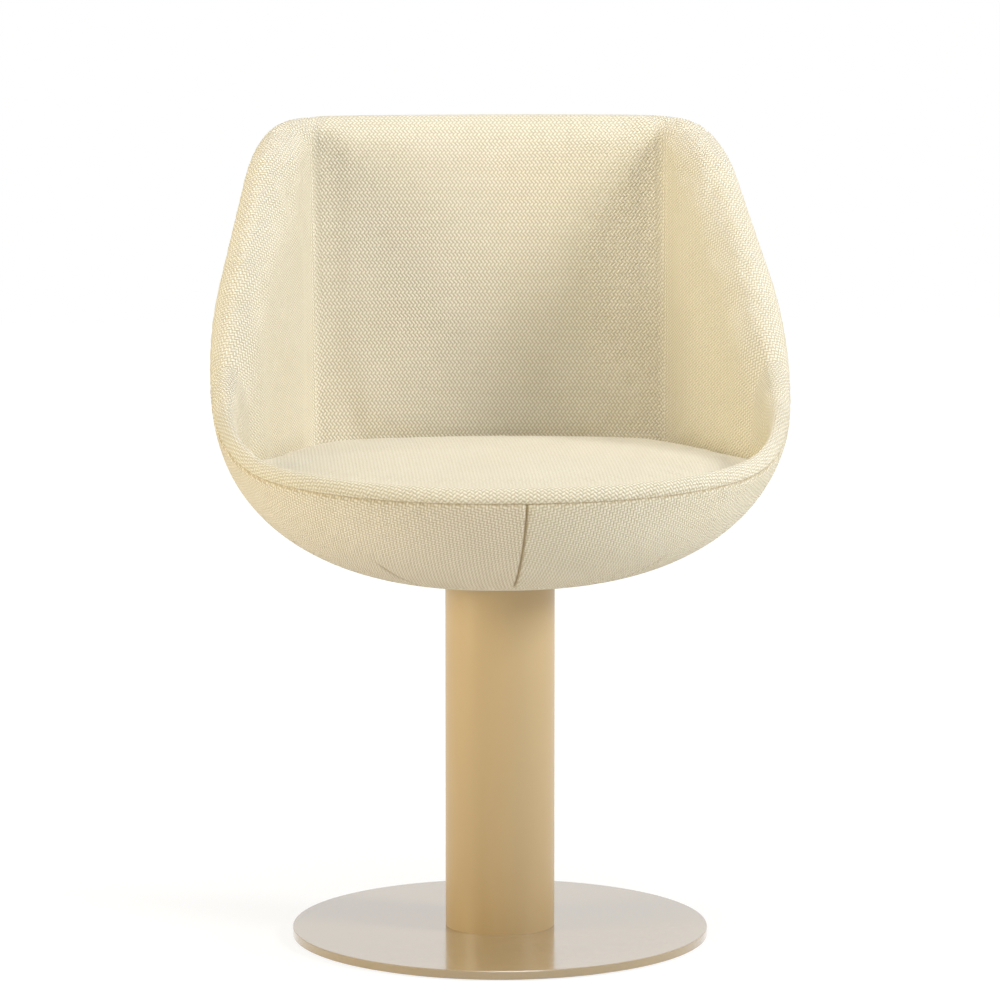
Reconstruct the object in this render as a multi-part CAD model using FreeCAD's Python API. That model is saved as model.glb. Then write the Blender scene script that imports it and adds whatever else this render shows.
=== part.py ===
import FreeCAD, Part
import os
from math import atan2, cos, hypot, pi, radians, sin, sqrt, tan

# Pedestal swivel armchair: an upholstered tub on a swivel spindle in a round column.
# Millimetres. X to the sitter's left, which is the right as seen from the front, Y to the back,
# Z up. Right and left in a name are as seen from the front.
# The origin is the centre of the underside, on the floor. "Inset" means the level distance in
# from the outer surface of the tub.

V = FreeCAD.Vector
UP = V(0, 0, 1)

# Pedestal
BASE_DIAMETER = 412.0
BASE_THICKNESS = 8.0
BASE_EDGE_BREAK = 0.8
GLIDE_DIAMETER = 398.0
GLIDE_THICKNESS = 2.0
COLUMN_DIAMETER = 108.0
COLUMN_WALL = 3.0
COLUMN_TOP = 360.0
FOOT_THICKNESS = 14.0
BASE_BOLT_CIRCLE = 70.0
BASE_BOLT_DIAMETER = 10.0
BASE_BOLT_HEAD = 20.0
BASE_BOLT_COUNT = 4
BASE_BOLT_REACH = 12.0
BASE_BOLT_SOCKET = 6.0
BASE_BOLT_SOCKET_DEPTH = 3.6
HEAD_THICKNESS = 10.0

# Swivel bearing
SPINDLE_DIAMETER = 30.0
SPINDLE_COLLAR_DIAMETER = 44.0
SPINDLE_COLLAR_HEIGHT = 8.0
SPINDLE_TAIL = 12.0
SPINDLE_TAIL_CHAMFER = 1.5
BEARING_TUBE_OUTSIDE = 44.0
BEARING_TUBE_BORE = 36.0
BEARING_TUBE_LENGTH = 146.0
BEARING_TUBE_PROUD = 6.0
BUSH_LENGTH = 25.0
BUSH_FLANGE = 2.0
THRUST_WASHER = 2.0
RETAINING_WASHER = 2.0
RING_THICKNESS = 1.5
RING_DEPTH = 0.9
RING_WIDTH = 3.4
RING_OPENING = 10.0

# Swivel plate, seat board and their fasteners
PLATE_BOLT_SPACING = 140.0
PLATE_EDGE_DISTANCE = 15.0
PLATE_THICKNESS = 6.0
PLATE_BOLT_DIAMETER = 8.0
PLATE_BOLT_HEAD_WIDTH = 13.0
PLATE_BOLT_HEAD_HEIGHT = 5.3
PLATE_WASHER_DIAMETER = 17.0
PLATE_WASHER_THICKNESS = 1.6
TEE_NUT_BARREL = 10.0
TEE_NUT_LENGTH = 11.0
TEE_NUT_FLANGE = 22.0
TEE_NUT_FLANGE_THICKNESS = 1.5
BOARD_THICKNESS = 18.0
BOARD_MARGIN = 4.0

# Outer surface of the tub: plan outline
HALF_WIDTH = 283.0
WIDEST_Y = -25.0
WIDEST_Z = 544.0
NOSE_DEPTH = 255.0
NOSE_POWER = 2.25
SIDE_RADIUS = 250.0
SIDE_ANGLE = 19.6
SIDE_FLARE = 0.07
CORNER_RADIUS = 100.0
BACK_Y = 232.0
BACK_RADIUS = 1500.0
BACK_RECLINE = 10.6

# Outer surface of the tub: bowl
BOWL_BOTTOM = 353.5
BOWL_POWER = 2.4
BOWL_HOLE_CLEARANCE = 3.0

# Rim, seen from the side: a nearly level front, a long rise and a nearly level top
RIM_FRONT_Y = -275.0
RIM_FRONT_Z = 466.0
RIM_FRONT_SLOPE = 5.6
RIM_RISE_Y = -5.0
RIM_RISE_Z = 564.5
RIM_RISE_SLOPE = 46.7
RIM_TOP_Z = 775.0
RIM_TOP_SLOPE = 4.0
RIM_LOWER_RADIUS = 260.0
RIM_UPPER_RADIUS = 130.0
ROLL_HEIGHT = 23.0

# Layers of the tub wall
WALL_THICKNESS = 46.0
COVER_THICKNESS = 4.0
SHELL_THICKNESS = 6.0
INNER_CORNER_RADIUS = 30.0
POCKET_RADIUS = 134.0
DISH_RADIUS = 130.0
PAD_FOOT_WIDTH = 12.0
FRONT_SEAM_X = 10.0

# Seat: its crease with the wall, which fades towards the front where the rim is low, and its crown
SEAT_CREASE_Z = 466.0
CREASE_GONE_RIM_Z = 500.0
CREASE_FULL_RIM_Z = 600.0
LIP_TUCK = 8.0
SEAT_TOP_Z = 486.5
SEAT_TOP_Y = -60.0
SEAT_FALL_BACK = 10.0
SEAT_FALL_SIDE = 7.0
SEAT_REACH = 225.0
SEAT_DRAWN_IN = 4.0
# Rings of the crown: how much of the seat's reach each has, and how much of the edge's drop
SEAT_RINGS = ((0.95, 0.3), (0.8, 0.0), (0.45, 0.0))

# Clearances
SOFT_GAP = 0.3
RUNNING_GAP = 0.05
FIT_GAP = 0.05
BOLT_GAP = 0.5
SEAM_GAP = 0.3

# How finely the tub is divided. Its levels lie closer where it bends: a turn of one radian counts
# as much as a rise of BEND_REACH.
LEVEL_COUNT = 6
BEND_REACH = 300.0
MEASURING_COUNT = 40
SOLVING_COUNT = 30
ROLL_COUNT = 8
ROLL_RISING_COUNT = 5
CUSHION_SIDE_COUNT = 2
# The outline's stretches and their parts, from the front centre to the back centre
OUTLINE_DIVISIONS = (("nose", 6), ("arc", 1), ("line", 2), ("corner", 3), ("back", 2))

# Heights that follow from the sizes above
BASE_TOP = GLIDE_THICKNESS + BASE_THICKNESS
BEARING_TOP = COLUMN_TOP + BEARING_TUBE_PROUD
BEARING_BOTTOM = BEARING_TOP - BEARING_TUBE_LENGTH
COLLAR_BOTTOM = BEARING_TOP + BUSH_FLANGE + THRUST_WASHER
PLATE_BOTTOM = COLLAR_BOTTOM + SPINDLE_COLLAR_HEIGHT
BOARD_BOTTOM = PLATE_BOTTOM + PLATE_THICKNESS
BOARD_TOP = BOARD_BOTTOM + BOARD_THICKNESS
CUSHION_BOTTOM = BOARD_TOP + TEE_NUT_FLANGE_THICKNESS + SOFT_GAP
SHELL_INSET = COVER_THICKNESS + SOFT_GAP
SHELL_INNER_INSET = SHELL_INSET + SHELL_THICKNESS
PAD_INSET = SHELL_INNER_INSET + SOFT_GAP
WELL_INSET = PAD_INSET + PAD_FOOT_WIDTH
HOLE_RADIUS = COLUMN_DIAMETER / 2 + BOWL_HOLE_CLEARANCE


def rim_corners():
    """The four points of the rim's side view, before its two corners are rounded."""
    front = tan(radians(RIM_FRONT_SLOPE))
    rise = tan(radians(RIM_RISE_SLOPE))
    top = tan(radians(RIM_TOP_SLOPE))
    back_y = BACK_Y + (RIM_TOP_Z - WIDEST_Z) * tan(radians(BACK_RECLINE))
    lower_y = (RIM_RISE_Z - rise * RIM_RISE_Y - RIM_FRONT_Z + front * RIM_FRONT_Y) / (front - rise)
    upper_y = (RIM_TOP_Z - top * back_y - RIM_RISE_Z + rise * RIM_RISE_Y) / (rise - top)
    lower = (lower_y, RIM_FRONT_Z + front * (lower_y - RIM_FRONT_Y))
    upper = (upper_y, RIM_TOP_Z + top * (upper_y - back_y))
    reach = WALL_THICKNESS
    start = (RIM_FRONT_Y - reach, RIM_FRONT_Z - front * reach)
    end = (back_y + reach, RIM_TOP_Z + top * reach)
    return start, lower, upper, end


def rounded_profile(points, radii):
    """The height of a line through points, with its inner corners rounded, as a function of y."""
    rounds = []
    for before, corner, after, radius in zip(points, points[1:], points[2:], radii):
        slope_in = atan2(corner[1] - before[1], corner[0] - before[0])
        slope_out = atan2(after[1] - corner[1], after[0] - corner[0])
        side = 1 if slope_out > slope_in else -1
        reach = radius * abs(tan((slope_out - slope_in) / 2))
        start = (corner[0] - reach * cos(slope_in), corner[1] - reach * sin(slope_in))
        end_y = corner[0] + reach * cos(slope_out)
        centre = (start[0] - side * radius * sin(slope_in), start[1] + side * radius * cos(slope_in))
        rounds.append((start[0], end_y, centre, radius, side))

    def height(y):
        for start_y, end_y, centre, radius, side in rounds:
            if start_y <= y <= end_y:
                return centre[1] - side * sqrt(max(radius ** 2 - (y - centre[0]) ** 2, 0.0))
        span = 0
        while span < len(points) - 2 and y > points[span + 1][0]:
            span += 1
        (y0, z0), (y1, z1) = points[span], points[span + 1]
        return z0 + (z1 - z0) * (y - y0) / (y1 - y0)

    return height


rim_height = rounded_profile(rim_corners(), (RIM_LOWER_RADIUS, RIM_UPPER_RADIUS))


def outline_point(place, z, inset=0.0, corner_radius=None):
    """A point of the right half of the plan outline at height z.

    The outline is a blunt nose, a round shoulder, a straight side that draws in towards the back,
    a round corner and a slightly bowed back. place is one of these stretches and a fraction of it.
    """
    stretch, fraction = place
    half_width = HALF_WIDTH + SIDE_FLARE * (z - WIDEST_Z) - inset
    nose = NOSE_DEPTH - inset
    shoulder = SIDE_RADIUS - inset
    corner = CORNER_RADIUS - inset if corner_radius is None else corner_radius
    back_y = BACK_Y + (z - WIDEST_Z) * tan(radians(BACK_RECLINE)) - inset
    bow = BACK_RADIUS - inset
    angle = radians(SIDE_ANGLE)
    if stretch == "nose":
        power = 2 / NOSE_POWER
        turn = fraction * pi / 2
        return half_width * sin(turn) ** power, WIDEST_Y - nose * cos(turn) ** power
    if stretch == "arc":
        turn = fraction * angle
        return half_width - shoulder * (1 - cos(turn)), WIDEST_Y + shoulder * sin(turn)
    side_x = half_width - shoulder * (1 - cos(angle))
    side_y = WIDEST_Y + shoulder * sin(angle)
    # The corner's centre lies one radius inside the side, and inside the back's circle
    from_x = side_x - corner * cos(angle)
    from_y = side_y - corner * sin(angle) - (back_y - bow)
    along = from_y * cos(angle) - from_x * sin(angle)
    short = from_x ** 2 + from_y ** 2 - (bow - corner) ** 2
    length = sqrt(along ** 2 - short) - along
    centre_x = from_x - length * sin(angle)
    centre_y = from_y + length * cos(angle) + back_y - bow
    if stretch == "line":
        reach = fraction * length
        return side_x - reach * sin(angle), side_y + reach * cos(angle)
    back_angle = atan2(centre_y - (back_y - bow), centre_x)
    if stretch == "corner":
        turn = angle + fraction * (back_angle - angle)
        return centre_x + corner * cos(turn), centre_y + corner * sin(turn)
    turn = back_angle + fraction * (pi / 2 - back_angle)
    return bow * cos(turn), back_y - bow + bow * sin(turn)


def bowl_share(z, inset=0.0):
    """How much of the full outline the bowl has reached at height z."""
    bottom = BOWL_BOTTOM + inset
    rise = min(max((z - bottom) / (WIDEST_Z - bottom), 0.0), 1.0)
    return (1 - (1 - rise) ** BOWL_POWER) ** (1 / BOWL_POWER)


def tub_point(place, z, inset=0.0):
    """A point on the outer surface of the tub, or on a layer that lies inset from it."""
    x, y = outline_point(place, z, inset)
    share = bowl_share(z, inset)
    return V(x * share, y * share, z)


def rim_z(place):
    """The height of the rim's seam at a place of the outline."""
    z = WIDEST_Z
    for _ in range(SOLVING_COUNT):
        z = (z + rim_height(tub_point(place, z).y)) / 2
    return z


def hole_point(place, radius, inset=0.0):
    """The point of a tub layer that lies at radius from the chair's axis."""
    bottom = BOWL_BOTTOM + inset
    z = bottom
    for _ in range(SOLVING_COUNT):
        x, y = outline_point(place, z, inset)
        share = radius / hypot(x, y)
        z = bottom + (WIDEST_Z - bottom) * (1 - (1 - share ** BOWL_POWER) ** (1 / BOWL_POWER))
    return V(x * share, y * share, z)


def inner_point(place, z):
    """A point on the inner wall of the tub, which stands upright below its rim."""
    x, y = outline_point(place, z, WALL_THICKNESS, INNER_CORNER_RADIUS)
    share = bowl_share(rim_z(place))
    return V(x * share, y * share, z)


def smooth(share):
    share = min(max(share, 0.0), 1.0)
    return share * share * (3 - 2 * share)


def wall_share(place):
    """1 where the arm or back stands over the seat, 0 where the seat runs into the front lip."""
    return smooth((rim_z(place) - CREASE_GONE_RIM_Z) / (CREASE_FULL_RIM_Z - CREASE_GONE_RIM_Z))


def seat_level(point):
    """The height of the seat's crown over a point."""
    behind = max(point.y - SEAT_TOP_Y, 0.0) / SEAT_REACH
    return SEAT_TOP_Z - SEAT_FALL_BACK * behind ** 2 - SEAT_FALL_SIDE * (point.x / SEAT_REACH) ** 2


def edge_z(place):
    """The height at which the inner wall meets the seat."""
    level = seat_level(inner_point(place, SEAT_TOP_Z))
    return level + (SEAT_CREASE_Z - level) * wall_share(place)


def roll_height(place):
    """The height of the roll over its seam, more where the rim slopes."""
    step = 2.0
    y = tub_point(place, rim_z(place)).y
    slope = (rim_height(y + step) - rim_height(y - step)) / (2 * step)
    x_before, y_before = outline_point(place, rim_z(place))
    lean = abs(x_before) / hypot(x_before, y_before)
    return ROLL_HEIGHT * sqrt(1 + (slope * lean) ** 2)


def half_places():
    places = []
    for stretch, count in OUTLINE_DIVISIONS:
        places += [(stretch, step / count) for step in range(count)]
    return places + [("back", 1.0)]


PLACES = half_places()


def upright_levels(place):
    """Heights from the cushion's underside to the rim, closer together where the tub bends."""
    low, high = CUSHION_BOTTOM, rim_z(place) - SEAM_GAP
    heights = [low + (high - low) * step / MEASURING_COUNT for step in range(MEASURING_COUNT + 1)]
    points = [tub_point(place, z) for z in heights]
    lengths = [0.0]
    for i in range(1, len(points)):
        ahead = points[i] - points[i - 1]
        behind = ahead if i == 1 else points[i - 1] - points[i - 2]
        lengths.append(lengths[-1] + ahead.Length + BEND_REACH * ahead.getAngle(behind))
    levels = [low]
    for level in range(1, LEVEL_COUNT):
        wanted = lengths[-1] * level / LEVEL_COUNT
        i = next(i for i in range(1, len(lengths)) if lengths[i] >= wanted)
        part = (wanted - lengths[i - 1]) / (lengths[i] - lengths[i - 1])
        levels.append(heights[i - 1] + part * (heights[i] - heights[i - 1]))
    return levels + [high]


LEVELS = {place: upright_levels(place) for place in PLACES}


def both_halves(point_at):
    """Points all the way round, from the front centre by the right side to the back and home."""
    right = [point_at(place) for place in PLACES]
    left = [V(-p.x, p.y, p.z) for p in reversed(right[1:-1])]
    return right + left


def shared_spacing():
    """Distances round the tub that every ring uses, so that the rings line up."""
    outer = both_halves(lambda place: tub_point(place, WIDEST_Z))
    inner = both_halves(lambda place: inner_point(place, WIDEST_Z))
    total = 0.0
    spacing = [total]
    for i in range(len(outer)):
        j = (i + 1) % len(outer)
        total += (outer[i].distanceToPoint(outer[j]) + inner[i].distanceToPoint(inner[j])) / 2
        spacing.append(total)
    return spacing


SPACING = shared_spacing()


def ring(point_at):
    """A closed smooth curve round the tub."""
    curve = Part.BSplineCurve()
    curve.interpolate(Points=both_halves(point_at), PeriodicFlag=True, Parameters=SPACING)
    return curve


def flat_face(curve):
    return Part.Face(Part.Wire([curve.toShape()]))


def band(low, high):
    """The face between two rings."""
    rows = list(zip(low.getPoles(), high.getPoles()))
    surface = Part.BSplineSurface()
    surface.buildFromPolesMultsKnots(
        rows,
        low.getMultiplicities(),
        [2, 2],
        low.getKnots(),
        [0.0, 1.0],
        True,
        False,
        low.Degree,
        1,
    )
    return surface.toShape()


def cap(edge):
    """A filled face inside a closed ring that isn't quite level."""
    return [Part.makeFilledFace([edge.toShape()])]


def bands(rings):
    return [band(low, high) for low, high in zip(rings, rings[1:])]


def solid_of(faces):
    shell = Part.Shell(faces)
    shell.sewShape()
    solid = Part.Solid(shell)
    if solid.Volume < 0:
        solid.reverse()
    return solid


def radius_ring(radius, inset):
    return ring(lambda place: hole_point(place, radius, inset))


def height_ring(z, inset):
    return ring(lambda place: tub_point(place, z, inset))


def level_ring(level, inset):
    return ring(lambda place: tub_point(place, LEVELS[place][level], inset))


def bowl_rings(radius, inset):
    """Rings from a round opening near the column up to the rim."""

    def halfway(place):
        first = tub_point(place, LEVELS[place][0])
        return hole_point(place, (DISH_RADIUS + hypot(first.x, first.y)) / 2 - inset / 2, inset)

    return [radius_ring(radius, inset), ring(halfway)] + upright_rings(inset)


def upright_rings(inset):
    return [level_ring(level, inset) for level in range(LEVEL_COUNT + 1)]


def closed_layer(outside, inside):
    """The solid between two stacks of rings."""
    ends = [band(outside[0], inside[0]), band(outside[-1], inside[-1])]
    return solid_of(bands(outside) + bands(inside) + ends)


def disc(radius, bottom, height, hole=0.0, centre=(0.0, 0.0)):
    at = V(centre[0], centre[1], bottom)
    solid = Part.makeCylinder(radius, height, at, UP)
    if hole:
        solid = solid.cut(Part.makeCylinder(hole, height, at, UP))
    return solid


def hexagon(width, bottom, height, centre):
    """A six-sided prism, width across its flats."""
    reach = width / 2 / cos(pi / 6)
    turns = [i * pi / 3 for i in range(7)]
    corners = [V(centre[0] + reach * cos(t), centre[1] + reach * sin(t), bottom) for t in turns]
    return Part.Face(Part.makePolygon(corners)).extrude(V(0, 0, height))


def round_pattern(count, circle):
    turns = [2 * pi * (i + 0.5) / count for i in range(count)]
    return [(circle / 2 * cos(turn), circle / 2 * sin(turn)) for turn in turns]


def square_pattern(spacing):
    half = spacing / 2
    return [(x, y) for x in (-half, half) for y in (-half, half)]


def cut_all(solid, tools):
    for tool in tools:
        solid = solid.cut(tool)
    return solid


# Pedestal


def base_glide():
    """A thin protective disc glued under the plate. The chair stands on it."""
    return disc(GLIDE_DIAMETER / 2, 0, GLIDE_THICKNESS)


def base_plate():
    plate = disc(BASE_DIAMETER / 2, GLIDE_THICKNESS, BASE_THICKNESS)
    rims = [edge for edge in plate.Edges if edge.BoundBox.ZMin > BASE_TOP - BASE_EDGE_BREAK]
    plate = plate.makeChamfer(BASE_EDGE_BREAK, rims)
    head = BASE_BOLT_HEAD / 2 + BOLT_GAP
    shank = BASE_BOLT_DIAMETER / 2 + BOLT_GAP
    tools = []
    for x, y in round_pattern(BASE_BOLT_COUNT, BASE_BOLT_CIRCLE):
        at = V(x, y, GLIDE_THICKNESS)
        tools.append(Part.makeCone(head, shank, head - shank, at, UP))
        tools.append(Part.makeCylinder(shank, BASE_THICKNESS, at, UP))
    return cut_all(plate, tools)


def base_bolts():
    """Countersunk screws that hold the column's foot to the plate."""
    head = BASE_BOLT_HEAD / 2
    shank = BASE_BOLT_DIAMETER / 2
    bottom = GLIDE_THICKNESS + BOLT_GAP
    bolts = []
    for x, y in round_pattern(BASE_BOLT_COUNT, BASE_BOLT_CIRCLE):
        cone = Part.makeCone(head, shank, head - shank, V(x, y, bottom), UP)
        length = BASE_TOP + BASE_BOLT_REACH - bottom
        socket = hexagon(BASE_BOLT_SOCKET, bottom, BASE_BOLT_SOCKET_DEPTH, (x, y))
        bolt = cone.fuse(disc(shank, bottom, length, centre=(x, y))).removeSplitter()
        bolts.append(bolt.cut(socket))
    return Part.Compound(bolts)


def column_foot():
    """A thick disc welded in the column's foot, tapped for the base screws."""
    radius = COLUMN_DIAMETER / 2 - COLUMN_WALL - FIT_GAP
    foot = disc(radius, BASE_TOP, FOOT_THICKNESS)
    thread = BASE_BOLT_DIAMETER / 2 + FIT_GAP
    places = round_pattern(BASE_BOLT_COUNT, BASE_BOLT_CIRCLE)
    return cut_all(foot, [disc(thread, BASE_TOP, FOOT_THICKNESS, centre=at) for at in places])


def column_tube():
    radius = COLUMN_DIAMETER / 2
    return disc(radius, BASE_TOP, COLUMN_TOP - BASE_TOP, hole=radius - COLUMN_WALL)


def column_head():
    """A disc welded in the top of the column, which carries the bearing tube."""
    radius = COLUMN_DIAMETER / 2 - COLUMN_WALL - FIT_GAP
    bore = BEARING_TUBE_OUTSIDE / 2 + FIT_GAP
    return disc(radius, COLUMN_TOP - HEAD_THICKNESS, HEAD_THICKNESS, hole=bore)


def bearing_tube():
    return disc(BEARING_TUBE_OUTSIDE / 2, BEARING_BOTTOM, BEARING_TUBE_LENGTH, hole=BEARING_TUBE_BORE / 2)


def bush(flange_bottom, sleeve_bottom):
    """A flanged plain bearing pressed into an end of the bearing tube."""
    bore = SPINDLE_DIAMETER / 2 + RUNNING_GAP
    flange = disc(BEARING_TUBE_OUTSIDE / 2, flange_bottom, BUSH_FLANGE, hole=bore)
    sleeve = disc(BEARING_TUBE_BORE / 2 - FIT_GAP, sleeve_bottom, BUSH_LENGTH, hole=bore)
    return flange.fuse(sleeve).removeSplitter()


def upper_bush():
    return bush(BEARING_TOP, BEARING_TOP - BUSH_LENGTH)


def lower_bush():
    return bush(BEARING_BOTTOM - BUSH_FLANGE, BEARING_BOTTOM)


def thrust_washer():
    """The washer that carries the sitter's weight and turns under the spindle's collar."""
    bore = SPINDLE_DIAMETER / 2 + RUNNING_GAP
    return disc(SPINDLE_COLLAR_DIAMETER / 2, BEARING_TOP + BUSH_FLANGE, THRUST_WASHER, hole=bore)


# Turning mechanism

WASHER_TOP = BEARING_BOTTOM - BUSH_FLANGE - RUNNING_GAP
RING_TOP = WASHER_TOP - RETAINING_WASHER
SPINDLE_BOTTOM = RING_TOP - SPINDLE_TAIL


def spindle():
    """The turned shaft, with its collar and the groove of its retaining ring."""
    radius = SPINDLE_DIAMETER / 2
    shaft = disc(radius, SPINDLE_BOTTOM, BOARD_BOTTOM - SPINDLE_BOTTOM)
    tail = [edge for edge in shaft.Edges if edge.BoundBox.ZMax < SPINDLE_BOTTOM + FIT_GAP]
    shaft = shaft.makeChamfer(SPINDLE_TAIL_CHAMFER, tail)
    groove_height = RING_THICKNESS + RUNNING_GAP
    groove = disc(radius + RING_WIDTH, RING_TOP - groove_height, groove_height, hole=radius - RING_DEPTH)
    collar_height = SPINDLE_COLLAR_HEIGHT - RUNNING_GAP
    collar = disc(SPINDLE_COLLAR_DIAMETER / 2, COLLAR_BOTTOM + RUNNING_GAP, collar_height)
    return shaft.cut(groove).fuse(collar).removeSplitter()


def retaining_washer():
    bore = SPINDLE_DIAMETER / 2 + RUNNING_GAP
    return disc(BEARING_TUBE_OUTSIDE / 2, RING_TOP, RETAINING_WASHER, hole=bore)


def retaining_ring():
    """The spring ring in the spindle's groove, open at one side."""
    inner = SPINDLE_DIAMETER / 2 - RING_DEPTH + FIT_GAP
    outer = inner + RING_WIDTH
    bottom = RING_TOP - RING_THICKNESS
    whole = disc(outer, bottom, RING_THICKNESS, hole=inner)
    corner = V(0, -RING_OPENING / 2, bottom)
    return whole.cut(Part.makeBox(outer * 2, RING_OPENING, RING_THICKNESS, corner))


def swivel_plate():
    half = PLATE_BOLT_SPACING / 2 + PLATE_EDGE_DISTANCE
    plate = Part.makeBox(half * 2, half * 2, PLATE_THICKNESS, V(-half, -half, PLATE_BOTTOM))
    corners = [edge for edge in plate.Edges if edge.BoundBox.ZLength > PLATE_THICKNESS / 2]
    plate = plate.makeFillet(PLATE_EDGE_DISTANCE, corners)
    tools = [disc(SPINDLE_DIAMETER / 2 + FIT_GAP, PLATE_BOTTOM, PLATE_THICKNESS)]
    for at in square_pattern(PLATE_BOLT_SPACING):
        tools.append(disc(PLATE_BOLT_DIAMETER / 2 + BOLT_GAP, PLATE_BOTTOM, PLATE_THICKNESS, centre=at))
    return cut_all(plate, tools)


def plate_bolts():
    """Hexagon screws from below, through the plate and the board into the tee nuts."""
    top = PLATE_BOTTOM - PLATE_WASHER_THICKNESS
    bottom = top - PLATE_BOLT_HEAD_HEIGHT
    bolts = []
    for at in square_pattern(PLATE_BOLT_SPACING):
        head = hexagon(PLATE_BOLT_HEAD_WIDTH, bottom, PLATE_BOLT_HEAD_HEIGHT, at)
        shank = disc(PLATE_BOLT_DIAMETER / 2, top, BOARD_TOP - top, centre=at)
        bolts.append(head.fuse(shank).removeSplitter())
    return Part.Compound(bolts)


def plate_washers():
    bottom = PLATE_BOTTOM - PLATE_WASHER_THICKNESS
    bore = PLATE_BOLT_DIAMETER / 2 + FIT_GAP
    radius = PLATE_WASHER_DIAMETER / 2
    places = square_pattern(PLATE_BOLT_SPACING)
    return Part.Compound([disc(radius, bottom, PLATE_WASHER_THICKNESS, bore, at) for at in places])


def tee_nuts():
    """Nuts driven into the board from above."""
    nuts = []
    bore = PLATE_BOLT_DIAMETER / 2 + FIT_GAP
    for at in square_pattern(PLATE_BOLT_SPACING):
        flange = disc(TEE_NUT_FLANGE / 2, BOARD_TOP, TEE_NUT_FLANGE_THICKNESS, bore, at)
        barrel = disc(TEE_NUT_BARREL / 2, BOARD_TOP - TEE_NUT_LENGTH, TEE_NUT_LENGTH, bore, at)
        nuts.append(flange.fuse(barrel).removeSplitter())
    return Part.Compound(nuts)


def seat_board():
    """The plywood board that lies in the shell and carries the cushion."""
    inset = PAD_INSET + BOARD_MARGIN
    low = height_ring(BOARD_BOTTOM, inset)
    high = ring(lambda place: tub_point(place, BOARD_BOTTOM, inset) + UP * BOARD_THICKNESS)
    board = solid_of([band(low, high), flat_face(low), flat_face(high)])
    hole = TEE_NUT_BARREL / 2 + FIT_GAP
    places = square_pattern(PLATE_BOLT_SPACING)
    return cut_all(board, [disc(hole, BOARD_BOTTOM, BOARD_THICKNESS, centre=at) for at in places])


# Tub

def shell():
    """The moulded shell that gives the tub its form, open below for the swivel plate."""
    outside = bowl_rings(POCKET_RADIUS, SHELL_INSET)
    inside = bowl_rings(POCKET_RADIUS, SHELL_INSET + SHELL_THICKNESS)
    return closed_layer(outside, inside)


def bottom_cover():
    """The fabric dish under the bowl, round the column."""
    radii = (HOLE_RADIUS, DISH_RADIUS - SEAM_GAP)
    stacks = [[radius_ring(radius, inset) for radius in radii] for inset in (0, COVER_THICKNESS)]
    return closed_layer(*stacks)


def outer_cover():
    """The whole outer cover, from the seam of the dish to the seam under the roll."""
    return closed_layer(bowl_rings(DISH_RADIUS, 0), bowl_rings(DISH_RADIUS, COVER_THICKNESS))


def right_side():
    """Everything on the right of the front seam and of the middle of the back."""
    size = HALF_WIDTH * 3
    front = Part.makeBox(size, size, size * 2, V(FRONT_SEAM_X, -size, 0))
    back = Part.makeBox(size, size, size * 2, V(0, 0, 0))
    return front.fuse(back)


def outer_cover_halves():
    cover = outer_cover()
    side = right_side()
    return cover.common(side), cover.cut(side)


def roll_point(place, step):
    """A point on the roll. Over a wall the roll comes down again, at the lip it runs to the seat."""
    top = rim_z(place)
    rise = roll_height(place)
    outer = tub_point(place, top)
    inner = inner_point(place, top)
    turn = pi * step / ROLL_COUNT
    high = outer + (inner - outer) * ((1 - cos(turn)) / 2)
    high.z = top + rise * sin(turn)
    if step <= ROLL_RISING_COUNT:
        turn = pi / 2 * step / ROLL_RISING_COUNT
        low = outer + (inner - outer) * ((1 - cos(turn)) / 2)
        low.z = top + rise * sin(turn)
    else:
        share = (step - ROLL_RISING_COUNT) / (ROLL_COUNT - ROLL_RISING_COUNT)
        low = outer + (inner - outer) * ((1 + share) / 2)
        low.z = top + rise + (seat_level(inner) - top - rise) * smooth(share)
    return low + (high - low) * wall_share(place)


def arm_back_pad():
    """The foam ring of the arms, back and front lip, with the roll over the tub's rim."""
    outside = upright_rings(PAD_INSET)
    roll = [ring(lambda place, step=step: roll_point(place, step)) for step in range(ROLL_COUNT + 1)]
    crease = ring(lambda place: inner_point(place, edge_z(place) - LIP_TUCK))
    foot = height_ring(CUSHION_BOTTOM, WELL_INSET)
    return solid_of(bands(outside + roll + [crease, foot, outside[0]]))


def seat_cushion():
    """The foam seat: it fills the well of the tub, with drawn-in sides and a crowned top."""

    def side_point(place, share):
        low = tub_point(place, CUSHION_BOTTOM, WELL_INSET)
        tuck = inner_point(place, edge_z(place) - LIP_TUCK)
        point = low + (tuck - low) * share
        reach = hypot(point.x, point.y)
        kept = (reach - SOFT_GAP * 2 - SEAT_DRAWN_IN * sin(share * pi)) / reach
        return V(point.x * kept, point.y * kept, point.z)

    def side_ring(share):
        return ring(lambda place: side_point(place, share))

    def crown_ring(reach, drop):
        def point(place):
            edge = side_point(place, 1)
            over = V(edge.x * reach, edge.y * reach, 0)
            level = seat_level(over)
            return V(over.x, over.y, level - (level - edge_z(place)) * drop)

        return ring(point)

    sides = [side_ring(step / CUSHION_SIDE_COUNT) for step in range(CUSHION_SIDE_COUNT + 1)]
    crown = [crown_ring(1.0, 1.0)] + [crown_ring(reach, drop) for reach, drop in SEAT_RINGS]
    top = crown[-1]
    return solid_of(bands(sides + crown) + [flat_face(sides[0])] + cap(top))


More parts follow.
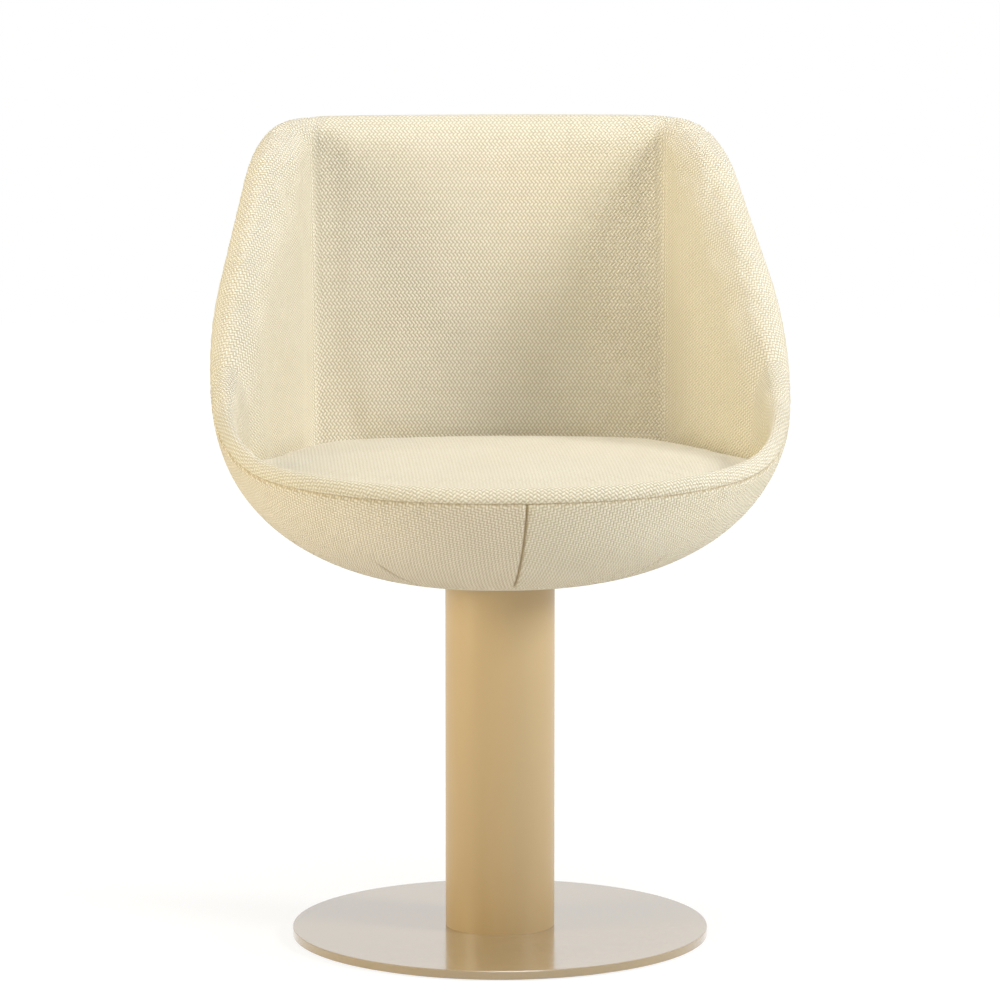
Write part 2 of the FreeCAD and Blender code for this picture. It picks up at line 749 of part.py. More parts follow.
def build():
    right, left = outer_cover_halves()
    parts = {
        "base_glide": base_glide(),
        "base_plate": base_plate(),
        "base_bolts": base_bolts(),
        "column_foot": column_foot(),
        "column_tube": column_tube(),
        "column_head": column_head(),
        "bearing_tube": bearing_tube(),
        "upper_bush": upper_bush(),
        "lower_bush": lower_bush(),
        "thrust_washer": thrust_washer(),
        "spindle": spindle(),
        "retaining_washer": retaining_washer(),
        "retaining_ring": retaining_ring(),
        "swivel_plate": swivel_plate(),
        "plate_bolts": plate_bolts(),
        "plate_washers": plate_washers(),
        "tee_nuts": tee_nuts(),
        "seat_board": seat_board(),
        "shell": shell(),
        "bottom_cover": bottom_cover(),
        "outer_cover_right": right,
        "outer_cover_left": left,
        "arm_back_pad": arm_back_pad(),
        "seat_cushion": seat_cushion(),
    }
    os.makedirs("parts", exist_ok=True)
    for name, shape in parts.items():
        shape.exportStep("parts/" + name + ".step")
        box = shape.BoundBox
        heights = "z " + str(round(box.ZMin, 1)) + " to " + str(round(box.ZMax, 1))
        print(name, len(shape.Solids), "solids", "valid" if shape.isValid() else "not valid", heights)


build()
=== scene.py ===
import bpy
from functools import lru_cache
from math import atan2, cos, hypot, pi, radians, sin, sqrt, tan

import numpy as np
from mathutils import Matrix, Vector


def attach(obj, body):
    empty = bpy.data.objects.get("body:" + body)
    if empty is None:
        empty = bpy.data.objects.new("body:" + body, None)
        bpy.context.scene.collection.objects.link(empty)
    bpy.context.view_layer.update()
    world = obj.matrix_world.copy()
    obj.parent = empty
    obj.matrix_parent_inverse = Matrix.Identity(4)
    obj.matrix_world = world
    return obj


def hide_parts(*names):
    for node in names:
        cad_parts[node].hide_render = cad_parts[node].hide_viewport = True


# Pedestal swivel armchair. Metres, in the frame of the CAD model: X to the sitter's left,
# Y to the back, Z up, and the floor at 0.

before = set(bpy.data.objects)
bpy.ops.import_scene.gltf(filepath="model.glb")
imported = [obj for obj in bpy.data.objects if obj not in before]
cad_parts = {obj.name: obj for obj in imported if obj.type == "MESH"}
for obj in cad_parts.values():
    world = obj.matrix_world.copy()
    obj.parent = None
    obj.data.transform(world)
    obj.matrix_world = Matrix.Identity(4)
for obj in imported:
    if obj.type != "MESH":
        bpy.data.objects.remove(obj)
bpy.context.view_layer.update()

# Outer surface of the tub: plan outline
HALF_WIDTH = 0.283
WIDEST_Y = -0.025
WIDEST_Z = 0.544
NOSE_DEPTH = 0.255
NOSE_POWER = 2.25
SIDE_RADIUS = 0.250
SIDE_ANGLE = radians(19.6)
SIDE_FLARE = 0.07
CORNER_RADIUS = 0.100
BACK_Y = 0.232
BACK_RADIUS = 1.500
BACK_RECLINE = radians(10.6)

# Outer surface of the tub: bowl
BOWL_BOTTOM = 0.3535
BOWL_POWER = 2.4
BOWL_HOLE = 0.057
DISH_RADIUS = 0.130

# Rim, seen from the side
RIM_FRONT_Y = -0.275
RIM_FRONT_Z = 0.466
RIM_FRONT_SLOPE = radians(5.6)
RIM_RISE_Y = -0.005
RIM_RISE_Z = 0.5645
RIM_RISE_SLOPE = radians(46.7)
RIM_TOP_Z = 0.775
RIM_TOP_SLOPE = radians(4.0)
RIM_LOWER_RADIUS = 0.260
RIM_UPPER_RADIUS = 0.130

# Roll on the rim: lower at the front, where the rim is low
ROLL_HEIGHT = 0.0235
FRONT_ROLL_HEIGHT = 0.0150
FULL_ROLL_RIM_Z = (0.480, 0.580)
SLOPE_STEP = 0.002

# Inside of the tub. Each pair gives the rim heights between which the form changes from that of
# the front lip to that of the arms: the wall's thickness, its standing over the seat, and the
# crease round the seat.
WALL_THICKNESS = 0.046
LIP_THICKNESS = 0.019
INNER_CORNER_RADIUS = 0.014
CREASE_Z = 0.466
CREASE_DEPTH = 0.012
CREASE_RADIUS = 0.018
THIN_RIM_Z = (0.488, 0.600)
OPEN_RIM_Z = (0.480, 0.528)
CREASE_RIM_Z = (0.520, 0.620)

# Seat: its crown falls to the back, to the front lip and to the sides
SEAT_TOP_Z = 0.4865
BACK_FALL, BACK_FALL_Y, BACK_FALL_REACH = 0.010, -0.060, 0.225
FRONT_FALL, FRONT_FALL_Y, FRONT_FALL_REACH = 0.0085, -0.030, 0.220
SIDE_FALL, SIDE_FALL_REACH = 0.007, 0.225
SEAT_TUCK = 0.007
SEAT_UNDER_LIP = 0.0015

# Sewing
FRONT_SEAM_X = 0.010
FRONT_SEAM_LOW_X = 0.0055
SEAM_DEPTH = 0.0032
SEAM_WIDTH = 0.0019
# Width of a seam's line, where the weave's relief flattens and the fabric paints shade for the
# groove
SEAM_LINE = 0.0009
RIDGE_HEIGHT = 0.0006
RIDGE_PLACE = 1.6 * SEAM_WIDTH
PUCKER = 0.0004
PUCKER_LENGTH = 0.0135
PUCKER_REACH = 0.016
PUCKER_WANDER, WANDER_RATE = 3, 31
# Darts under the bowl's front corners: the angle from the front, and the height where they end
DARTS = {1: radians(42.2), -1: radians(36.0)}
DART_END_Z = 0.405
DART_FADE = 0.012
DART_DEPTH = 0.0014

# Cloth simulation: the covers swell under pressure, by CLOTH_REACH at most
CLOTH_FRAMES = 20
CLOTH_PRESSURE = 4.0
CLOTH_MASS = 0.3
CLOTH_QUALITY = 5
CLOTH_GROWTH = 0.006
CLOTH_REACH = 0.0030
COPY_COLUMN_STEP, COPY_ROW_STEP = 3, 2
# Distances over which the covers come free: from the rim's seam, the crease, the back corners
# and the seat's edge
FREE_FROM_SEAM = (0.030, 0.060)
FREE_FROM_CREASE = (0.0, 0.035)
FREE_FROM_CORNER = (0.004, 0.045)
FREE_FROM_EDGE = (0.010, 0.060)

# How finely the fabric is divided
ROUND_STEPS = {"nose": 116, "arc": 14, "line": 34, "corner": 30, "back": 30}
SEAM_STEPS = (0.0, 0.0008, 0.0016, 0.0024, 0.0033, 0.0044, 0.0058, 0.0076, 0.0098, 0.0125)
PANEL_ROWS = 48
SECTION_ROWS = 66
DISH_ROWS = 24
SEAT_EDGE_ROWS, SEAT_ROWS = 17, 44
SEAT_EDGE_SHARE, SEAT_LAST_SHARE = 0.06, 0.97
MERIDIAN_STEPS = 90
ROLL_STEPS = 40
WALL_STEPS = 30
FIXED_POINT_STEPS = 30
HOLE_STEPS = 20


def mix(a, b, share):
    return a + (b - a) * share


def smooth(value, low, high):
    """0 below low, 1 above high, and an even ease between them."""
    share = np.clip((value - low) / (high - low), 0.0, 1.0)
    return share * share * (3 - 2 * share)


# Form of the tub


def rim_corners():
    """The four points of the rim's side view, before its two corners are rounded."""
    front, rise, top = tan(RIM_FRONT_SLOPE), tan(RIM_RISE_SLOPE), tan(RIM_TOP_SLOPE)
    back_y = BACK_Y + (RIM_TOP_Z - WIDEST_Z) * tan(BACK_RECLINE)
    lower_y = (RIM_RISE_Z - rise * RIM_RISE_Y - RIM_FRONT_Z + front * RIM_FRONT_Y) / (front - rise)
    upper_y = (RIM_TOP_Z - top * back_y - RIM_RISE_Z + rise * RIM_RISE_Y) / (rise - top)
    lower = (lower_y, RIM_FRONT_Z + front * (lower_y - RIM_FRONT_Y))
    upper = (upper_y, RIM_TOP_Z + top * (upper_y - back_y))
    start = (RIM_FRONT_Y - WALL_THICKNESS, RIM_FRONT_Z - front * WALL_THICKNESS)
    end = (back_y + WALL_THICKNESS, RIM_TOP_Z + top * WALL_THICKNESS)
    return start, lower, upper, end


def rounded_profile(points, radii):
    """The height of a line through points, with its inner corners rounded, as a function of y."""
    rounds = []
    for before, corner, after, radius in zip(points, points[1:], points[2:], radii):
        slope_in = atan2(corner[1] - before[1], corner[0] - before[0])
        slope_out = atan2(after[1] - corner[1], after[0] - corner[0])
        side = 1 if slope_out > slope_in else -1
        reach = radius * abs(tan((slope_out - slope_in) / 2))
        start = (corner[0] - reach * cos(slope_in), corner[1] - reach * sin(slope_in))
        end_y = corner[0] + reach * cos(slope_out)
        centre_y = start[0] - side * radius * sin(slope_in)
        centre_z = start[1] + side * radius * cos(slope_in)
        rounds.append((start[0], end_y, (centre_y, centre_z), radius, side))

    def height(y):
        for start_y, end_y, centre, radius, side in rounds:
            if start_y <= y <= end_y:
                return centre[1] - side * sqrt(max(radius ** 2 - (y - centre[0]) ** 2, 0.0))
        span = 0
        while span < len(points) - 2 and y > points[span + 1][0]:
            span += 1
        (y0, z0), (y1, z1) = points[span], points[span + 1]
        return z0 + (z1 - z0) * (y - y0) / (y1 - y0)

    return height


rim_height = rounded_profile(rim_corners(), (RIM_LOWER_RADIUS, RIM_UPPER_RADIUS))


def outline_point(place, z, inset=0.0, corner_radius=None):
    """A point of the plan outline at height z, in the half where x > 0."""
    stretch, fraction = place
    half_width = HALF_WIDTH + SIDE_FLARE * (z - WIDEST_Z) - inset
    nose = NOSE_DEPTH - inset
    shoulder = SIDE_RADIUS - inset
    corner = CORNER_RADIUS - inset if corner_radius is None else corner_radius
    back_y = BACK_Y + (z - WIDEST_Z) * tan(BACK_RECLINE) - inset
    bow = BACK_RADIUS - inset
    if stretch == "nose":
        power = 2 / NOSE_POWER
        turn = fraction * pi / 2
        return half_width * sin(turn) ** power, WIDEST_Y - nose * cos(turn) ** power
    if stretch == "arc":
        turn = fraction * SIDE_ANGLE
        return half_width - shoulder * (1 - cos(turn)), WIDEST_Y + shoulder * sin(turn)
    side_x = half_width - shoulder * (1 - cos(SIDE_ANGLE))
    side_y = WIDEST_Y + shoulder * sin(SIDE_ANGLE)
    from_x = side_x - corner * cos(SIDE_ANGLE)
    from_y = side_y - corner * sin(SIDE_ANGLE) - (back_y - bow)
    along = from_y * cos(SIDE_ANGLE) - from_x * sin(SIDE_ANGLE)
    short = from_x ** 2 + from_y ** 2 - (bow - corner) ** 2
    length = sqrt(along ** 2 - short) - along
    centre_x = from_x - length * sin(SIDE_ANGLE)
    centre_y = from_y + length * cos(SIDE_ANGLE) + back_y - bow
    if stretch == "line":
        reach = fraction * length
        return side_x - reach * sin(SIDE_ANGLE), side_y + reach * cos(SIDE_ANGLE)
    back_angle = atan2(centre_y - (back_y - bow), centre_x)
    if stretch == "corner":
        turn = SIDE_ANGLE + fraction * (back_angle - SIDE_ANGLE)
        return centre_x + corner * cos(turn), centre_y + corner * sin(turn)
    turn = back_angle + fraction * (pi / 2 - back_angle)
    return bow * cos(turn), back_y - bow + bow * sin(turn)


def bowl_share(z):
    """How much of the plan outline the bowl has at height z: 0 at its bottom, 1 at its widest."""
    rise = min(max((z - BOWL_BOTTOM) / (WIDEST_Z - BOWL_BOTTOM), 0.0), 1.0)
    return (1 - (1 - rise) ** BOWL_POWER) ** (1 / BOWL_POWER)


def tub_point(place, z):
    """A point on the outer surface of the tub."""
    x, y = outline_point(place, z)
    share = bowl_share(z)
    return np.array((x * share, y * share, z))


def hole_point(place, radius):
    """The point of the outer surface that lies at radius from the chair's axis."""
    z = BOWL_BOTTOM
    for _ in range(HOLE_STEPS):
        x, y = outline_point(place, z)
        share = radius / hypot(x, y)
        fall = (1 - share ** BOWL_POWER) ** (1 / BOWL_POWER)
        z = BOWL_BOTTOM + (WIDEST_Z - BOWL_BOTTOM) * (1 - fall)
    return np.array((x * share, y * share, z))


@lru_cache(maxsize=None)
def rim_z(place):
    """The height at which the outer surface meets the rim's side view."""
    z = WIDEST_Z
    for _ in range(FIXED_POINT_STEPS):
        z = (z + rim_height(tub_point(place, z)[1])) / 2
    return z


def inner_point(place, z):
    """A point on the inner wall of the tub, which stands upright below its rim."""
    inset = mix(LIP_THICKNESS, WALL_THICKNESS, smooth(rim_z(place), *THIN_RIM_Z))
    x, y = outline_point(place, z, inset, INNER_CORNER_RADIUS)
    share = bowl_share(rim_z(place))
    return np.array((x * share, y * share, z))


def roll_height(place):
    """The height of the roll over its seam, more where the rim slopes."""
    y = tub_point(place, rim_z(place))[1]
    slope = (rim_height(y + SLOPE_STEP) - rim_height(y - SLOPE_STEP)) / (2 * SLOPE_STEP)
    x_out, y_out = outline_point(place, rim_z(place))
    lean = abs(x_out) / hypot(x_out, y_out)
    height = mix(FRONT_ROLL_HEIGHT, ROLL_HEIGHT, smooth(rim_z(place), *FULL_ROLL_RIM_Z))
    return height * sqrt(1 + (slope * lean) ** 2)


def half_places():
    """The columns of the half outline: the name of a stretch and how far along it each one is."""
    places = []
    for stretch, count in ROUND_STEPS.items():
        places += [(stretch, step / count) for step in range(count)]
    return places + [("back", 1.0)]


PLACES = half_places()
FLIP = np.array((-1.0, 1.0, 1.0))
# Columns: the widest place, both ends of the back corner, its middle, and the back's middle
WIDEST = ROUND_STEPS["nose"]
BACK_MIDDLE = len(PLACES) - 1
BACK_START = BACK_MIDDLE - ROUND_STEPS["back"]
CORNER_START = BACK_START - ROUND_STEPS["corner"]
CORNER = (CORNER_START + BACK_START) // 2


def closed_round(columns):
    """The columns of the half outline with x > 0, then their mirror images, all the way round."""
    left = [column * FLIP for column in reversed(columns[1:-1])]
    return np.array(columns + left)


# Mesh helpers


def spread(points, count, low_seam=False, high_seam=False):
    """Points along a line of points: count at equal distances, and more beside a seam."""
    points = np.array(points)
    steps = np.linalg.norm(np.diff(points, axis=0), axis=1)
    lengths = np.concatenate(([0.0], np.cumsum(steps)))
    total = lengths[-1]
    near = np.array(SEAM_STEPS)
    low = near if low_seam else np.zeros(1)
    high = total - near[::-1] if high_seam else np.full(1, total)
    between = np.linspace(low[-1], high[0], count + 1)[1:-1]
    wanted = np.concatenate((low, between, high))
    return np.stack([np.interp(wanted, lengths, points[:, axis]) for axis in range(3)], axis=1)


def grid_object(name, grid, weave, closed=False, weave_ahead=None, seam=None):
    """A mesh from a grid of points, columns by rows, with the place of each in the cloth as UVs.

    weave_ahead gives each column's place for the faces before it, where a seam divides the cloth.
    seam is 1 on a seam's line and falls to 0 beside it; the fabric paints shade there.
    """
    columns, rows = grid.shape[:2]
    ahead = weave if weave_ahead is None else weave_ahead
    faces = []
    cloth = []
    for i in range(columns if closed else columns - 1):
        j = (i + 1) % columns
        for k in range(rows - 1):
            faces.append((i * rows + k, j * rows + k, j * rows + k + 1, i * rows + k + 1))
            cloth += [weave[i, k], ahead[j, k], ahead[j, k + 1], weave[i, k + 1]]
    mesh = bpy.data.meshes.new(name)
    mesh.from_pydata(grid.reshape(-1, 3).tolist(), [], faces)
    layer = mesh.uv_layers.new(name="cloth")
    layer.data.foreach_set("uv", np.array(cloth, dtype=np.float32).ravel())
    mesh.polygons.foreach_set("use_smooth", [True] * len(mesh.polygons))
    if seam is not None:
        lines = mesh.attributes.new("seam", "FLOAT", "POINT")
        lines.data.foreach_set("value", seam.astype(np.float32).ravel())
    obj = bpy.data.objects.new(name, mesh)
    bpy.context.collection.objects.link(obj)
    return obj


def normals_of(grid, closed=False):
    """Unit normals of a grid of points."""
    if closed:
        along = np.roll(grid, -1, axis=0) - np.roll(grid, 1, axis=0)
    else:
        along = np.gradient(grid, axis=0)
    up = np.gradient(grid, axis=1)
    normal = np.cross(along, up)
    return normal / np.maximum(np.linalg.norm(normal, axis=2, keepdims=True), 1e-9)


def distances(grid, axis, origin=0):
    """Distance along a grid's columns or rows from one of them."""
    steps = np.linalg.norm(np.diff(grid, axis=axis), axis=2)
    lengths = np.cumsum(steps, axis=axis)
    pad = [(0, 0), (0, 0)]
    pad[axis] = (1, 0)
    lengths = np.pad(lengths, pad)
    return lengths - np.take(lengths, [origin], axis=axis)


def edge_fall(distance, width):
    """1 at a line, falling to 0 beside it over about width."""
    return np.exp(-(distance / width) ** 2)


def puckers(along, away):
    """Small folds that a seam draws in: along the seam, fading away from it."""
    wave = np.sin(along / PUCKER_LENGTH * 2 * pi + PUCKER_WANDER * np.sin(along * WANDER_RATE))
    return PUCKER * np.exp(-np.abs(away) / PUCKER_REACH) * wave


def swelling(grid, free, closed):
    """How far the cloth moves, point by point, when it is simulated under pressure.

    free is 0 where the cloth is sewn down and 1 where it can swell. The simulated copy is coarser
    than the grid, and its movement is capped and spread over all the grid's points.
    """
    swell = np.zeros_like(grid)
    columns = np.arange(0, grid.shape[0], COPY_COLUMN_STEP)
    last_row = grid.shape[1] - 1
    rows = np.unique(np.append(np.arange(0, last_row + 1, COPY_ROW_STEP), last_row))
    coarse = grid[columns][:, rows]
    copy = grid_object("cloth_copy", coarse, coarse[..., :2], closed)
    group = copy.vertex_groups.new(name="held")
    for index, weight in enumerate(1 - free[columns][:, rows].ravel()):
        group.add([index], float(weight), "REPLACE")
    cloth = copy.modifiers.new("cloth", "CLOTH")
    cloth.settings.vertex_group_mass = "held"
    cloth.settings.quality = CLOTH_QUALITY
    cloth.settings.mass = CLOTH_MASS
    cloth.settings.shrink_min = -CLOTH_GROWTH
    cloth.settings.use_pressure = True
    cloth.settings.uniform_pressure_force = CLOTH_PRESSURE
    cloth.settings.effector_weights.gravity = 0
    cloth.point_cache.frame_end = CLOTH_FRAMES
    for moment in range(1, CLOTH_FRAMES + 1):
        bpy.context.scene.frame_set(moment)
    evaluated = copy.evaluated_get(bpy.context.evaluated_depsgraph_get())
    moved = np.zeros(len(evaluated.data.vertices) * 3)
    evaluated.data.vertices.foreach_get("co", moved)
    move = moved.reshape(coarse.shape) - coarse
    bpy.data.objects.remove(copy)
    bpy.context.scene.frame_set(1)
    size = np.linalg.norm(move, axis=2, keepdims=True)
    move *= CLOTH_REACH * np.tanh(size / CLOTH_REACH) / np.maximum(size, 1e-9)
    every_column = np.arange(grid.shape[0])
    period = grid.shape[0] if closed else None
    for i in range(grid.shape[1]):
        k = np.interp(i, rows, np.arange(len(rows)))
        low = int(k)
        high = min(low + 1, len(rows) - 1)
        row = mix(move[:, low], move[:, high], k - low)
        for axis in range(3):
            swell[:, i, axis] = np.interp(every_column, columns, row[:, axis], period=period)
    return swell * free[..., None]


# Outer panels

# The points of a meridian lie closer together under the bowl, where it is nearly flat
MERIDIAN_POWER = 1.5
# Columns beside the middle, on the far side and on the near side, that the front seam is cut from
FAR_COLUMNS, NEAR_COLUMNS = 20, 40
# The close set of columns beside the front seam ends at the first column that is clear of it
SEAM_CLEARANCE = {1: 0.016, -1: 0.006}
LAST_GAP = 0.0025
# Behind the widest place the weave keeps the width that it has in this row, as a share of the
# rows from the dish up, so that it isn't sheared under the back
WIDTH_ROW_SHARE = 0.6


def meridian(place):
    """Points up the outer surface from the dish's seam to the rim's seam."""
    bottom = hole_point(place, DISH_RADIUS)[2]
    shares = [(step / MERIDIAN_STEPS) ** MERIDIAN_POWER for step in range(MERIDIAN_STEPS + 1)]
    heights = [mix(bottom, rim_z(place), share) for share in shares]
    return spread([tub_point(place, z) for z in heights], PANEL_ROWS, True, True)


def seam_x(z):
    """The front seam runs a little nearer to the middle under the bowl."""
    return mix(FRONT_SEAM_LOW_X, FRONT_SEAM_X, smooth(z, BOWL_BOTTOM, RIM_FRONT_Z))


def trimmed_front(grid, side):
    """The side's columns, but beside the front seam a close set that starts on it."""
    clear = SEAM_CLEARANCE[side] + FRONT_SEAM_X * side
    first = int(np.argmax(np.abs(grid[:, 0, 0]) > clear))
    whole = grid[first]
    mirrored = np.concatenate((grid[FAR_COLUMNS:0:-1] * FLIP, grid[:NEAR_COLUMNS]))
    columns = []
    for share in np.array(SEAM_STEPS) / (SEAM_STEPS[-1] + LAST_GAP):
        column = []
        for row in range(grid.shape[1]):
            line = mirrored[:, row]
            line = line[np.argsort(line[:, 0])]
            start = seam_x(whole[row][2])
            x = mix(start, whole[row][0], share)
            y = np.interp(x, line[:, 0], line[:, 1])
            z = np.interp(x, line[:, 0], line[:, 2])
            column.append([x, y, z])
        columns.append(column)
    return np.concatenate((np.array(columns), grid[first:]))


def panel(name, side):
    """The outer cover on one side: side is 1 where x > 0 and -1 where x < 0."""
    grid = np.array([meridian(place) for place in PLACES]) * np.array((side, 1, 1))
    grid = trimmed_front(grid, side)
    around = distances(grid, 0)
    to_back = distances(grid, 0, -1)
    below_rim = distances(grid, 1, -1)
    from_dish = distances(grid, 1)
    row = int(PANEL_ROWS * WIDTH_ROW_SHARE)
    across = around.copy()
    across[WIDEST:] = around[WIDEST] + (around[WIDEST:, row] - around[WIDEST, row])[:, None]
    weave = np.stack((across * side, below_rim), axis=2)
    normal = normals_of(grid) * side
    sink = puckers(around, below_rim) + puckers(below_rim, around)
    # seam marks the seams' and darts' lines, which the fabric darkens as painted shade
    seam = np.zeros(around.shape)
    for distance in (around, to_back, below_rim, from_dish):
        sink += SEAM_DEPTH * edge_fall(distance, SEAM_WIDTH)
        seam = np.maximum(seam, edge_fall(distance, SEAM_LINE))
    if side < 0:
        sink -= RIDGE_HEIGHT * edge_fall(around - RIDGE_PLACE, SEAM_WIDTH)
    angle = DARTS[side]
    off_dart = grid[..., 0] * side * cos(angle) + grid[..., 1] * sin(angle)
    fading = np.clip((DART_END_Z - grid[..., 2]) / DART_FADE, 0, 1) * (grid[..., 1] < 0)
    sink += DART_DEPTH * fading * edge_fall(off_dart, SEAM_WIDTH)
    seam = np.maximum(seam, fading * edge_fall(off_dart, SEAM_LINE))
    return grid_object(name, grid - normal * sink[..., None], weave, seam=seam)


# Padding of the arms, back and front lip


def wall_share(place):
    """1 where the arm or back stands over the seat, 0 where the seat runs into the lip."""
    return smooth(rim_z(place), *OPEN_RIM_Z)


def seat_level(x, y):
    """The height of the seat's crown."""
    behind = max(y - BACK_FALL_Y, 0.0) / BACK_FALL_REACH
    ahead = max(FRONT_FALL_Y - y, 0.0) / FRONT_FALL_REACH
    aside = x / SIDE_FALL_REACH
    return SEAT_TOP_Z - BACK_FALL * behind ** 2 - FRONT_FALL * ahead ** 2 - SIDE_FALL * aside ** 2


def section(place):
    """A line from the rim's seam over the roll and down the inner wall to the crease.

    It is a mixture of two lines: a high one, for an arm or the back, which stands on the crease,
    and a low one, for the front lip, which rises half as far round and runs into the seat.
    """
    top = rim_z(place)
    rise = roll_height(place)
    outer = tub_point(place, top)
    inner = inner_point(place, top)
    level = seat_level(inner[0], inner[1])
    high = []
    low = []
    for step in range(ROLL_STEPS + 1):
        share = step / ROLL_STEPS
        for line, reach in ((high, pi), (low, pi / 2)):
            turn = reach * share
            point = mix(outer, inner, (1 - cos(turn)) / 2)
            line.append((point[0], point[1], top + rise * sin(turn)))
    for step in range(1, WALL_STEPS + 1):
        share = step / WALL_STEPS
        high.append(tuple(inner_point(place, mix(top, CREASE_Z - CREASE_DEPTH, share))))
        point = mix(outer, inner, (1 + share) / 2)
        low.append((point[0], point[1], mix(top + rise, level, smooth(share, 0, 1))))
    high = spread(high, SECTION_ROWS, True)
    low = spread(low, SECTION_ROWS, True)
    return mix(low, high, wall_share(place))


def unit(vectors):
    """Vectors scaled to length 1."""
    return vectors / np.maximum(np.linalg.norm(vectors, axis=-1, keepdims=True), 1e-12)


def repeated(vector, count):
    return np.tile(vector, (count, 1))


def unrolled(grid, ring, crease, along, outward):
    """Lay the cloth out flat, row by row from the crease to the rim's seam.

    ring holds the directions round the tub. crease, along and outward are the crease's place in
    the cloth and the directions along it and away from it.
    """
    closed = np.array([wall_share(place) for place in PLACES])
    rise = (ring[..., 2] * closed[:, None])[..., None]
    level = np.sqrt(1 - rise ** 2)
    with_rows = level * along[:, None] + rise * outward[:, None]
    across_rows = level * outward[:, None] - rise * along[:, None]
    weave = np.zeros(grid.shape[:2] + (2,))
    weave[:, -1] = crease
    for row in range(grid.shape[1] - 2, -1, -1):
        step = grid[:, row] - grid[:, row + 1]
        direction = unit(ring[:, row] + ring[:, row + 1])
        part = (step * direction).sum(axis=1)[:, None]
        rest = np.linalg.norm(step - part * direction, axis=1)[:, None]
        weave[:, row] = weave[:, row + 1] + part * with_rows[:, row] + rest * across_rows[:, row]
    return weave, with_rows


def inner_weave(whole):
    """Where each point of the arms and back lies in the cloth.

    In front of the widest place the cloth follows the crease. Behind it the cloth stands straight
    on the crease, and a line in each back corner divides the arms from the back.
    """
    count = len(PLACES)
    ring = unit(np.roll(whole, -1, axis=0) - np.roll(whole, 1, axis=0))[:count]
    grid = whole[:count]
    travel = distances(grid, 0)
    flat_ring = unit(ring[:, -1, :2])
    along = np.stack((flat_ring[:, 1], -flat_ring[:, 0]), axis=1)
    step = np.diff(travel[:, -1])[:, None] * (along[1:] + along[:-1]) / 2
    place = np.concatenate((np.zeros((1, 2)), np.cumsum(step, axis=0)))
    weave, _ = unrolled(grid, ring, place, along, -flat_ring)
    way, away = repeated(along[WIDEST], count), repeated(-flat_ring[WIDEST], count)
    place = place[WIDEST] + (travel[:, -1:] - travel[WIDEST, -1]) * way
    arm, arm_way = unrolled(grid, ring, place, way, away)
    way, away = repeated((-1.0, 0.0), count), repeated((0.0, 1.0), count)
    back, back_way = unrolled(grid, ring, (travel[:, -1:] - travel[-1, -1]) * way, way, away)
    for n in range(CORNER_START + 1, CORNER + 1):
        further = (travel[n] - travel[CORNER_START])[:, None]
        arm[n] = arm[CORNER_START] + arm_way[CORNER_START] * further
    for n in range(CORNER, BACK_START):
        further = (travel[BACK_START] - travel[n])[:, None]
        back[n] = back[BACK_START] - back_way[BACK_START] * further
    weave[WIDEST:CORNER] = arm[WIDEST:CORNER]
    weave[CORNER:] = back[CORNER:]
    ahead = weave.copy()
    ahead[CORNER] = arm[CORNER]
    # The mirrored half, where the columns run the other way round
    sides = np.ones((count, 1, 2))
    sides[:CORNER, :, 1] = -1
    sides[CORNER:, :, 0] = -1
    left, left_ahead = weave * sides, weave * sides
    left[CORNER] = arm[CORNER] * (1, -1)
    order = slice(-2, 0, -1)
    return np.concatenate((weave, left[order])), np.concatenate((ahead, left_ahead[order]))


def arm_and_back():
    """The cover of the arms, the back and the front lip, with its roll."""
    grid = closed_round([section(place) for place in PLACES])
    weave, ahead = inner_weave(grid)
    down = distances(grid, 1)
    to_crease = -distances(grid, 1, -1)
    along = np.arctan2(grid[..., 0], -grid[..., 1]) * WIDEST_Z / 2
    free = smooth(down, *FREE_FROM_SEAM) * smooth(to_crease, *FREE_FROM_CREASE)
    for column in (CORNER, len(grid) - CORNER):
        free *= smooth(np.abs(distances(grid, 0, column)), *FREE_FROM_CORNER)
    walls = np.array([wall_share(place) for place in PLACES])
    free *= np.concatenate((walls, walls[-2:0:-1]))[:, None]
    grid = grid + swelling(grid, free, True)
    sink = SEAM_DEPTH * edge_fall(down, SEAM_WIDTH) + puckers(along, down)
    grid = grid - normals_of(grid, closed=True) * sink[..., None]
    # The rim seam's line goes in as seam, which the fabric darkens as painted shade
    return grid_object("arm_back_cover", grid, weave, True, ahead, edge_fall(down, SEAM_LINE))


# Seat


